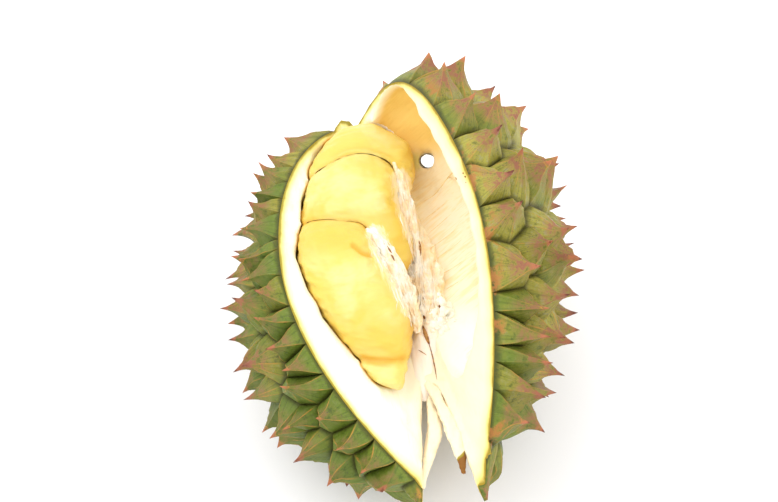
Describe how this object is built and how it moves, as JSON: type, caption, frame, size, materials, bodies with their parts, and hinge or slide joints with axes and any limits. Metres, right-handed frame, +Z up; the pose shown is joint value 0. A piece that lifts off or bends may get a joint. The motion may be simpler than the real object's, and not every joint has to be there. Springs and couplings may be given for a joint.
{
  "type": "opened durian",
  "caption": "Spiny tropical fruit laid on its side with one valve removed and its halves pried apart, showing cream pith, an empty chamber and yellow pulp.",
  "frame": {"origin": "middle of the footprint, at the height of the surface that the fruit rests on", "axes": "+Z up, +Y along the fruit's axis towards its stem end, +X to the half with the empty chamber"},
  "size_m": [0.191, 0.2389, 0.1575],
  "materials": {
    "rind": "satin green spiny rind",
    "pith": "matt moist cream pith",
    "fibre": "matt torn fibre",
    "pulp": "soft satin pulp"
  },
  "bodies": {
    "root": {"husk": "rind", "aril_top": "pulp", "aril_middle": "pulp", "aril_lower": "pulp"}
  },
  "joints": []
}
